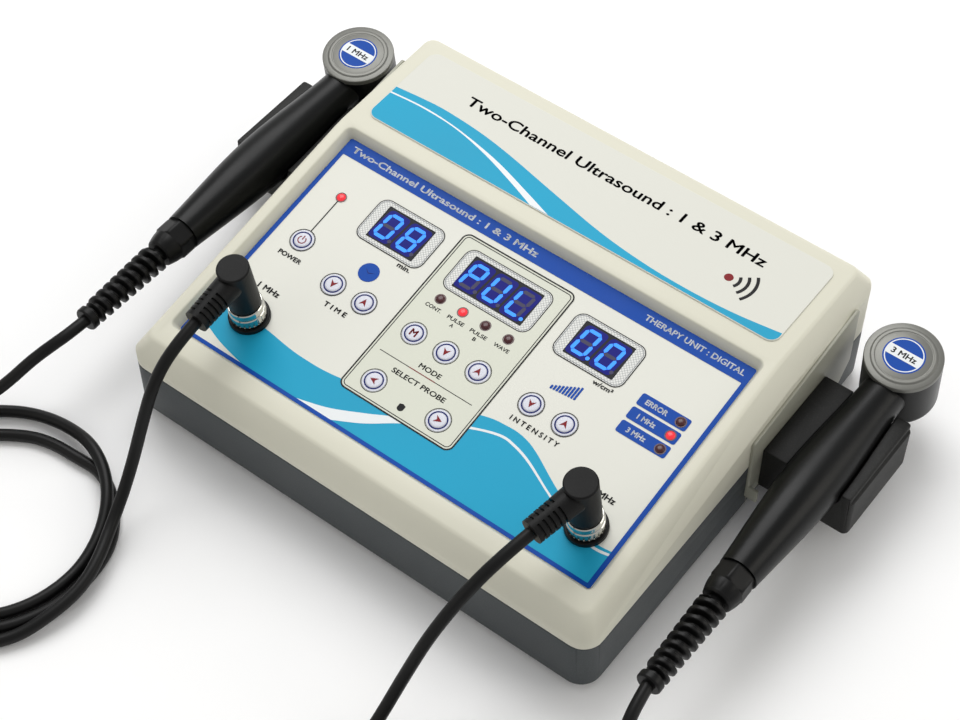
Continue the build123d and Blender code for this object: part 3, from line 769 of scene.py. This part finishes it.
def leads():
    """Both cords, each one tube along its route and coil."""
    left_coil = loose_coil(left_coil_middle, left_coil_bends, 14)
    right_coil = neat_coil(right_coil_middle, -90, 1440, 1.9, right_coil_radii)
    left_points = left_lead_route + left_coil + left_return_route
    right_points = right_lead_route + right_coil + right_return_route
    lead("left", left_points, *left_bend, left_length)
    lead("right", right_points, *right_bend, right_length)


# --- Case --------------------------------------------------------------------
roof_break = 0.0361           # in front of this, the roof follows the panel's slope
side_face = 0.1251
front_face = -0.1092
back_face = 0.1072
bevel_side = 0.1168
bevel_front = -0.1005
recess_back = 0.0360
label_thickness = 0.0007
bevel_drop = 0.0006           # edges this far under the roof still belong to it
rim_drop = 0.004
edge_rounding = 0.0006
bevel_rounding = 0.0014
rim_rounding = 0.0005
sheet_rounding = 0.0003


def roof_at(y):
    """The height of the roof's surface, or of its slope beside the panel."""
    return roof_height - label_thickness - max(0, roof_break - y) * math.tan(slope)


def on_roof(middle):
    """An edge of the roof, along the bevel round it or round the panel's recess."""
    return middle.z > roof_at(middle.y) - bevel_drop


def at_recess(middle):
    """An edge of the roof round the panel's recess."""
    inside = abs(middle.x) < bevel_side and bevel_front < middle.y < recess_back
    return on_roof(middle) and inside


def on_rim(middle):
    """An edge on the case's outer faces, below the bevel."""
    outside = abs(middle.x) > side_face or middle.y < front_face or middle.y > back_face
    return outside and middle.z < roof_at(middle.y) - rim_drop


def anywhere(middle):
    return True


def case():
    """Both halves of the case and the holders on its sides."""
    top_edges = [(edge_rounding, at_recess), (bevel_rounding, on_roof), (rim_rounding, on_rim)]
    crisp("upper_shell", ivory, top_edges)
    crisp("lower_shell", slate, [(edge_rounding, on_rim)])
    for side in ("left", "right"):
        crisp(side + "_bracket", bracket_paint, [(sheet_rounding, anywhere)])
        crisp(side + "_cradle", holder_black, [(edge_rounding, anywhere)])


# --- Control panel -----------------------------------------------------------
first_layer = 0.03
layer_step = 0.05


def layer(number):
    """The height of a printed layer above its plate."""
    return first_layer + layer_step * number


def ring(cx, cy, outer, inner, steps=64):
    return [circle(cx, cy, outer, steps), circle(cx, cy, inner, steps)]


def frame_loops(cx, cy, width, height, radius, line):
    """The outline of a rounded rectangle, drawn inside its size."""
    inside = rounded(cx, cy, width - 2 * line, height - 2 * line, max(radius - line, 0.2))
    return [rounded(cx, cy, width, height, radius), inside]


frame_side = 2.5
frame_bottom = 2.2
header_bottom = 113.8
film_margin = 0.3
film_radius = 1.1
print_side = panel_width / 2 - 2.0
centre_u = -4.65
centre_v = 64.3
centre_width = 60.8
centre_height = 93.2
centre_corner = 3.7
divider_v = 41.5
centre_cover = 2.0            # how far the centre field lies over the waves


def beneath_centre(line, lower=0.0):
    """A wave's edge, kept clear of the key holes where the centre field covers it."""
    reach = centre_width / 2 - centre_cover
    limit = centre_v - centre_height / 2 + centre_cover - lower
    return [(u, min(v, limit)) if abs(u - centre_u) < reach else (u, v) for u, v in line]


def background():
    """The blue frame with its header, and the cyan and white waves."""
    top = flowing([
        (-print_side, 24.1), (-93.2, 22.7), (-78, 21.6), (-57.7, 19.4), (-35.5, 20.6),
        (-4.4, 28.3), (25.6, 39.8), (38.5, 42), (47.4, 41.6), (56.2, 38.6), (71, 30.8),
        (87.3, 23.1), (99.2, 18.7), (print_side, 19),
    ])
    bottom = [(print_side, 1.6), (-60, 1.6)]
    bottom += flowing([(-70, 1.6), (-77.7, 2.4), (-90.3, 5), (-99.2, 7.9), (-print_side, 11.7)])
    printed("cyan_wave", [beneath_centre(top) + bottom], layer(0), print_cyan)
    over = flowing([
        (-47, 1.8), (-31.1, 6.1), (-16.3, 12.7), (-7.4, 17.2), (10.4, 26.1), (25.6, 33),
        (38.5, 37.2), (46.6, 36.7), (56.2, 33.8), (71, 26.8), (87.3, 19.8), (100.6, 17),
        (print_side, 17.9),
    ])
    under = flowing([
        (print_side, 16.7), (100.6, 15.8), (87.3, 18.8), (71, 25.8), (56.2, 32.6), (46.6, 35.5),
        (38.5, 36), (25.6, 31.7), (10.4, 23.1), (-0.7, 17.2), (-13.3, 8.7), (-27, 1.8),
    ])
    wave = beneath_centre(over) + beneath_centre(under, 0.6)
    printed("white_wave", [wave], layer(1), print_white)
    film_width = panel_width - 2 * film_margin
    film_length = panel_length - 2 * film_margin
    film = rounded(0, panel_length / 2, film_width, film_length, film_radius)
    inner_width = panel_width - 2 * frame_side
    inner_height = header_bottom - frame_bottom
    inner = rounded(0, frame_bottom + inner_height / 2, inner_width, inner_height, 0.4)
    printed("blue_frame", [film, inner], layer(2), print_blue)
    header = (header_bottom + panel_length) / 2
    lettering(
        "header_words", "Two-Channel Ultrasound : 1 & 3 MHz", -53.8, header, 3.3, layer(3),
        print_white, width=105,
    )
    lettering(
        "header_kind", "THERAPY UNIT : DIGITAL", 81.8, header, 2.9, layer(3), print_white, width=51
    )


def centre_panel():
    """The grey field round the mode and probe keys, in its double outline."""
    size = (centre_width, centre_height)
    _, window_u, window_width, *_ = displays[1]
    window = rounded(window_u, display_row, window_width, window_height, window_corner)
    field = [rounded(centre_u, centre_v, *size, centre_corner), window]
    for u, v, _ in keys.values():
        if abs(u - centre_u) < centre_width / 2:
            field.append(circle(u, v, key_hole_radius))
    printed("centre_field", field, layer(2), overlay_grey)
    line = frame_loops(centre_u, centre_v, *size, centre_corner, 0.7)
    printed("centre_line", line, layer(3), print_black)
    inner = (centre_width - 2.8, centre_height - 2.8)
    rule = frame_loops(centre_u, centre_v, *inner, 2.4, 0.4)
    printed("centre_rule", rule, layer(3), print_black)
    printed("divider", [rounded(-5, divider_v, 50, 0.35, 0.1)], layer(3), print_black)
    printed("divider_mark", [rounded(-7, divider_v, 14, 0.4, 0.1)], layer(4), print_maroon)
    shield = arc(centre_u, 23.6, 1.7, 200, 340, 8)
    shield += [(centre_u + 1.6, 25.1), (centre_u, 25.7), (centre_u - 1.6, 25.1)]
    printed("shield", [shield], layer(3), print_black)


words = [
    # name, words, u, v, height of capitals, width
    ("power", "POWER", -93.6, 56.7, 2.3, 12.6),
    ("minutes", "min.", -47, 80.3, 2.5, 6.9),
    ("dose", "w/cm²", 61, 79.9, 2.3, 10.2),
    ("time", "T I M E", -59.2, 46.5, 2.5, 12.3),
    ("intensity", "I N T E N S I T Y", 49.4, 46.5, 2.5, 24.9),
    ("mode", "MODE", -5, 44.9, 2.5, 11.6),
    ("select", "SELECT PROBE", -5, 36.7, 2.5, 28.6),
    ("continuous", "CONT.", -23.5, 71.2, 1.9, 8.4),
    ("pulse_a", "PULSE", -11.2, 71.2, 1.9, 8.8),
    ("a", "A", -11.2, 68.2, 1.8, 1.8),
    ("pulse_b", "PULSE", 1.2, 71.2, 1.9, 8.8),
    ("b", "B", 1.2, 68.2, 1.8, 1.6),
    ("wave", "WAVE", 13.6, 71.2, 1.9, 8.0),
    ("left_probe", "1 MHz", -90.3, 38, 2.9, 11.8),
    ("right_probe", "3 MHz", 91, 38, 2.9, 11.8),
]
tags = [("ERROR", 84.1), ("1 MHz", 76.5), ("3 MHz", 68.8)]


def captions():
    for name, text, u, v, height, width in words:
        lettering("word_" + name, text, u, v, height, layer(3), print_black, width=width)
    for number, (text, v) in enumerate(tags):
        name = "tag_" + str(number)
        printed(name, [rounded(89.4, v, 24.8, 6.3, 1.1)], layer(2), print_blue)
        lettering(name + "_words", text, 85.8, v, 2.6, layer(3), print_white, bold=0.03)
    printed("lamp_line", [rounded(-94.2, 82.0, 0.5, 19.6, 0.1)], layer(2), print_black)


def timer_icon():
    """A clock face beside the time keys."""
    u, v = -58.6, 69.7
    printed("clock_disc", [circle(u, v, 4.9)], layer(2), print_blue)
    hands = [(u - 2.6, v + 1.3), (u, v - 0.7), (u + 2.9, v + 0.9), (u, v - 0.2)]
    printed("clock_hands", [hands], layer(3), print_navy)


def power_icon():
    """Rising bars beside the intensity keys."""
    left, foot = 42.8, 66.9
    pitch, lift = 1.45, 0.12
    bars = []
    for index in range(9):
        height = 1.9 + 0.62 * index
        middle = foot + height / 2 + lift * index
        bars.append(rounded(left + pitch * index, middle, 1.0, height, 0.15))
    printed("rising_bars", bars, layer(2), print_blue)


# --- Displays ----------------------------------------------------------------
display_row = 93.7
digit_pitch = 12.5
digit_height = 12.2           # between the middles of the top and bottom bars
digit_width = 6.7
bar_width = 1.75
bar_gap = 0.35
digit_slant = math.tan(math.radians(6))
digit_shift = -0.6            # of a number in its window
point_gap = 1.6
point_radius = 0.95
glow_margin = (4.6, 4.4)
filter_top = -0.1
segments = {
    # middle across, middle up, length, upright; in halves of the digit's size
    "a": (0, 1, 2, False),
    "b": (1, 0.5, 1, True),
    "c": (1, -0.5, 1, True),
    "d": (0, -1, 2, False),
    "e": (-1, -0.5, 1, True),
    "f": (-1, 0.5, 1, True),
    "g": (0, 0, 2, False),
}
characters = {"0": "abcdef", "8": "abcdefg", "P": "abefg", "U": "bcdef", "L": "def"}


def segment_loop(letter, u, v):
    """One slanting bar with pointed ends."""
    across, up, length, upright = segments[letter]
    middle_x = across * digit_width / 2
    middle_y = up * digit_height / 2
    half = (length * (digit_height if upright else digit_width) / 2 - bar_gap) / 2
    side = bar_width / 2
    outline = [
        (-half, 0), (-half + side, side), (half - side, side), (half, 0),
        (half - side, -side), (-half + side, -side),
    ]
    loop = []
    for x, y in outline:
        if upright:
            x, y = -y, x
        y += middle_y
        loop.append((u + middle_x + x + y * digit_slant, v + y))
    return loop


def digit(name, character, u, point_lit):
    """Lit bars on their glow, and unlit bars, just above the tinted filter."""
    shown = characters[character]
    lit = [segment_loop(letter, u, display_row) for letter in shown]
    unlit = [segment_loop(letter, u, display_row) for letter in "abcdefg" if letter not in shown]
    point_u = u + digit_width / 2 + point_gap
    point = circle(point_u, display_row - digit_height / 2, point_radius, 20)
    (lit if point_lit else unlit).append(point)
    glow_size = (digit_width + glow_margin[0], digit_height + glow_margin[1])
    glow = rounded(u + 0.3, display_row, *glow_size, 2.0)
    glow = [(x + (y - display_row) * digit_slant, y) for x, y in glow]
    printed(name + "_glow", [glow], filter_top + 0.02, digit_halo, thickness=0.02)
    printed(name + "_lit", lit, filter_top + 0.06, digit_lit, thickness=0.04)
    if unlit:
        printed(name + "_unlit", unlit, filter_top + 0.05, digit_dark, thickness=0.03)


displays = [
    # name, middle, window width, bezel width, characters, digit with a lit point
    ("time", -59.3, 26.0, 36.0, "08", None),
    ("mode", -5.0, 37.6, 46.5, "PUL", 2),
    ("dose", 49.3, 26.0, 36.0, "00", 0),
]
window_height = 18.5
bezel_height = 23.0
bezel_radius = 4.4
bezel_line = 0.45             # the black line lies outside the bezel
rule_inset = 0.4
window_corner = 0.5


def show_displays():
    """Each number's bezel with its lines, and the digits in its window."""
    for name, u, window_width, bezel_width, shown, point in displays:
        window = rounded(u, display_row, window_width, window_height, window_corner)
        outline = rounded(u, display_row, bezel_width, bezel_height, bezel_radius)
        printed(name + "_bezel", [outline, window], layer(3), bezel_mesh)
        outer = (bezel_width + 2 * bezel_line, bezel_height + 2 * bezel_line)
        edge = frame_loops(u, display_row, *outer, bezel_radius + bezel_line, bezel_line)
        printed(name + "_bezel_line", edge, layer(3), print_black)
        inner = (bezel_width - 2 * rule_inset, bezel_height - 2 * rule_inset)
        rule = frame_loops(u, display_row, *inner, bezel_radius - rule_inset, 0.22)
        printed(name + "_bezel_rule", rule, layer(4), print_grey)
        for index, character in enumerate(shown):
            place = u + (index - (len(shown) - 1) / 2) * digit_pitch + digit_shift
            digit(name + "_digit_" + str(index), character, place, index == point)


# --- Keys and lamps ----------------------------------------------------------
keys = {
    # node: (u, v, icon)
    "key_power": (-94.4, 66.6, "power"),
    "key_time_down": (-67.95, 56, -90),
    "key_time_up": (-50.45, 56, 90),
    "key_mode_select": (-22.5, 56, "M"),
    "key_mode_down": (-5, 56, -90),
    "key_mode_up": (12.5, 56, 90),
    "key_probe_left": (-22.5, 27.7, 180),
    "key_probe_right": (12.5, 27.7, 0),
    "key_intensity_down": (40.75, 56, -90),
    "key_intensity_up": (58.25, 56, 90),
}
cap_radius = 5.35
key_hole_radius = 5.5
cap_rim = 0.3
dome_top = 0.72


def spot(u, v):
    """A point of the film, with the panel's axes."""
    return panel_place @ Matrix.Translation((u, v, 0))


def key(node, u, v, icon):
    """A white cap with a raised dome in a navy ring, and its printed icon."""
    body = node + "_cap"
    profile = [
        (cap_radius, -2.8), (cap_radius, 0.15), (cap_radius - 0.12, 0.27),
        (cap_radius - 0.3, cap_rim), (3.75, cap_rim), (3.7, 0.36), (3.55, 0.55), (3.3, 0.66),
        (2.9, dome_top), (0.6, dome_top),
    ]
    cap = lathe(profile)
    cap.transform(spot(u, v))
    piece = new_object(node + "_dome", cap, key_white, body)
    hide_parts(node)
    printed(node + "_ring", ring(u, v, 4.45, 3.78), cap_rim + layer(0), print_navy, body=body)
    printed(node + "_surround", ring(u, v, 5.95, 5.62), layer(3), print_black)
    level = dome_top + layer(0)
    if icon == "M":
        lettering(node + "_icon", "M", u, v, 3.6, level, print_maroon, body=body, bold=0.035)
    elif icon == "power":
        outer = arc(u, v - 0.2, 2.1, -235, 55, 32)
        inner = arc(u, v - 0.2, 1.6, 55, -235, 32)
        stem = rounded(u, v + 1.1, 0.55, 2.4, 0.2)
        printed(node + "_icon", [outer + inner, stem], level, print_maroon, body=body)
    else:
        turn = math.radians(icon)
        head = []
        for x, y in ((2.0, 0), (-1.7, 1.75), (-0.6, 0), (-1.7, -1.75)):
            along = x * math.cos(turn) - y * math.sin(turn)
            up = x * math.sin(turn) + y * math.cos(turn)
            head.append((u + along, v + up))
        printed(node + "_icon", [head], level, print_maroon, body=body)


lamps = [
    # name, u, v, lit
    ("power", -94.1, 94.3, True),
    ("continuous", -23.5, 76.3, False),
    ("pulse_a", -11.2, 76.3, True),
    ("pulse_b", 1.2, 76.3, False),
    ("wave", 13.6, 76.3, False),
    ("error", 98, 84.1, False),
    ("low", 98, 76.5, True),
    ("high", 98, 68.8, False),
]
lamp_radius = 2.1


def lamp(name, u, v, lit):
    """A round-topped lamp in its hole."""
    profile = [(lamp_radius, -3.0), (lamp_radius, 0.1)]
    profile += [
        (lamp_radius * math.cos(math.radians(angle)), 0.1 + 0.9 * math.sin(math.radians(angle)))
        for angle in range(15, 90, 15)
    ]
    mesh = lathe(profile, steps=40)
    mesh.transform(spot(u, v))
    printed(name + "_rim", ring(u, v, lamp_radius + 0.5, lamp_radius + 0.05), layer(4), lamp_dark)
    return new_object(name, mesh, lamp_lit if lit else lamp_dark)


def panel():
    background()
    centre_panel()
    captions()
    timer_icon()
    power_icon()
    show_displays()
    for node, (u, v, icon) in keys.items():
        key(node, u, v, icon)
    for name, u, v, lit in lamps:
        piece = lamp("lamp_" + name, u, v, lit)
        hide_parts("indicator_leds")


# --- Label plate -------------------------------------------------------------
label_side = 110.6
label_front = 43.0
label_corner = 4.6


def label():
    """The printed plate on the roof, in millimetres of x and y."""
    corner = label_side - label_corner
    foot = label_front + label_corner
    top = flowing([
        (-label_side, 64.4), (-95, 65.8), (-83, 66.2), (-63, 64.8), (-43, 61.6), (-13, 55),
        (17, 48.8), (43, 45.8), (67, 45.2), (89, 46.4), (label_side, 49.4),
    ])
    edge = arc(corner, foot, label_corner, 0, -90, 8)
    edge += arc(-corner, foot, label_corner, -90, -180, 8)
    printed("label_wave", [top + edge], layer(0), print_cyan, place=roof_place)
    streak = flowing([
        (-label_side, 60.6), (-93, 61.8), (-77, 61.0), (-61, 58.6), (-43, 54.6), (-23, 48.2),
        (-8, label_front + 0.1),
    ])
    streak += flowing([
        (-18, label_front + 0.1), (-33, 48.8), (-53, 55.4), (-73, 59.8), (-93, 60.9),
        (-label_side, 59.7),
    ])
    printed("label_streak", [streak], layer(1), print_white, place=roof_place)
    lettering(
        "label_words", "Two-Channel Ultrasound : 1 & 3 MHz", 2.8, 77.8, 5.8, layer(0), print_black,
        place=roof_place, width=163, bold=0.02,
    )
    source_x, source_y = 75.5, 61.6
    source = circle(source_x, source_y, 2.1)
    printed("sound_source", [source], layer(0), print_maroon, place=roof_place)
    for number, radius in enumerate((5.2, 9.0, 12.8)):
        outer = arc(source_x, source_y, radius + 0.75, -36, 36, 20)
        inner = arc(source_x, source_y, radius - 0.75, 36, -36, 20)
        name = "sound_wave_" + str(number)
        printed(name, [outer + inner], layer(0), print_black, place=roof_place)


# --- Probes ------------------------------------------------------------------
def head_place(x):
    """Millimetres in the leaning head, with its axis as Z, seen from the part's frame."""
    lean = Matrix.Rotation(head_tilt, 4, "X")
    upright = Matrix.Translation((0, 0, -probe_z)) @ Matrix.Scale(MM, 4)
    return Matrix.Translation((x, head_y, probe_z)) @ lean @ upright


face_top = 52.12
field_radius = 9.4
ring_radii = (8.7, 8.2)
band_radius = 8.3
band_half = 2.7


def head_face(side, x, words_shown):
    """The turned aluminium face with its round printed label."""
    body = side + "_probe"
    place = head_place(x)
    profile = [
        (17.4, 49.2), (17.4, 51.3), (17.25, 51.55), (16.9, 51.7), (14.9, 51.7), (14.6, 51.78),
        (14.2, 52.12), (13.9, 52.2), (12.9, 52.2), (12.7, 52.05), (12.4, 51.98), (12.1, 52.05),
        (11.9, face_top), (0.5, face_top),
    ]
    mesh = lathe(profile, steps=96)
    mesh.transform(place)
    piece = new_object(side + "_face_plate", mesh, face_metal, body)
    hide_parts(side + "_face")
    on_head = {"place": place, "body": body}
    field = [circle(0, 0, field_radius)]
    printed(side + "_label_field", field, face_top + layer(0), print_blue, **on_head)
    edge = ring(0, 0, *ring_radii)
    printed(side + "_label_ring", edge, face_top + layer(1), print_white, **on_head)
    cut = math.degrees(math.asin(band_half / band_radius))
    band = arc(0, 0, band_radius, -cut, cut, 8)
    band += arc(0, 0, band_radius, 180 - cut, 180 + cut, 8)
    printed(side + "_label_band", [band], face_top + layer(2), print_white, **on_head)
    lettering(
        side + "_label_words", words_shown, 0, 0, 3.0, face_top + layer(3), print_black,
        width=12.2, **on_head,
    )


nut_length = 9.5
nut_apothem = 7.75
nut_end_radius = 8.0
nut_chamfer = 1.1
cone_length = 6.9
cone_foot_radius = 8.3
cone_taper = 1.5
finger_depth = 0.22
guard_start = nut_length + cone_length
guard_length = (gland_back - gland_front) / MM
first_turn = 20.0
last_turn = guard_length - 7.5
turn_count = 7.8
core_radius = 3.9
crest_radius = 6.9            # of the first ridge; the last is smaller by crest_drop
crest_drop = 1.0
ridge_half = 1.85
ridge_flank = 1.1
collar_length = 4.2
collar_height = 1.8


def nut_radius(height, angle):
    """A hexagon with its corners turned off at both ends."""
    from_flat = (angle + math.pi / 6) % (math.pi / 3) - math.pi / 6
    flat = nut_apothem / math.cos(from_flat)
    from_end = min(height, nut_length - height)
    return min(flat, nut_end_radius + 0.9 * min(from_end, nut_chamfer))


def cone_radius(height, angle):
    """A cone of eight blunt fingers."""
    share = height / cone_length
    lobe = abs(math.sin(4 * angle)) ** 0.5
    lobes = finger_depth * lobe * math.sin(math.pi * min(1, share * 1.2))
    end = 0.5 * max(0, share - 0.9) / 0.1
    return cone_foot_radius - cone_taper * share + lobes - end


def guard_radius(height, angle):
    """A spiral ridge that gets smaller along the cord, with a plain collar at its end."""
    share = (height - first_turn) / (last_turn - first_turn)
    pitch = (last_turn - first_turn) / turn_count
    turn = (height - first_turn) / pitch - angle / (2 * math.pi)
    from_ridge = abs(turn - round(turn)) * pitch
    edge = max(0, min(1, (ridge_half - from_ridge) / ridge_flank))
    ridge = edge * edge * (3 - 2 * edge)
    inside = max(0, min(1, (height - first_turn + 2.4) / 0.8, (last_turn + 2.4 - height) / 0.8))
    crest = crest_radius - crest_drop * max(0, min(1, share))
    collar = max(0, min(1, (height - guard_length + collar_length) / 0.6))
    rounding = max(0, height - guard_length + 0.8) ** 2
    spiral = (crest - core_radius) * ridge * inside
    return core_radius + max(spiral, collar_height * collar) - rounding


def even(start, end, step):
    """Evenly spaced numbers from start to end, about a step apart."""
    count = round((end - start) / step)
    return [start + (end - start) * index / count for index in range(count + 1)]


def gland(side, x):
    """The hexagonal cap nut, its cone of fingers and the spiral bend guard."""
    body = side + "_probe"
    turn = Matrix.Rotation(math.pi / 2, 4, "X")
    place = Matrix.Translation((x, gland_back, probe_z)) @ turn @ Matrix.Scale(MM, 4)
    nut = polar("nut", [0, 0.5, 1.1, 8.4, 9.0, nut_length], nut_radius, 72)
    cone = polar("cone", even(0, cone_length, 0.35), cone_radius, 96)
    cone.transform(Matrix.Translation((0, 0, nut_length - 0.05)))
    guard = polar("guard", even(guard_start - 1, guard_length, 0.25), guard_radius, 48)
    for part, mesh in (("nut", nut), ("cone", cone), ("bend_guard", guard)):
        mesh.transform(place)
        new_object(side + "_" + part, mesh, fitting_black, body)
    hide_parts(side + "_gland")


def probes():
    for side, x, words_shown in (("left", -probe_x, "1 MHz"), ("right", probe_x, "3 MHz")):
        head_face(side, x, words_shown)
        gland(side, x)


camera()
leads()
floor()
studio()
finish_nodes()
case()
panel()
label()
probes()
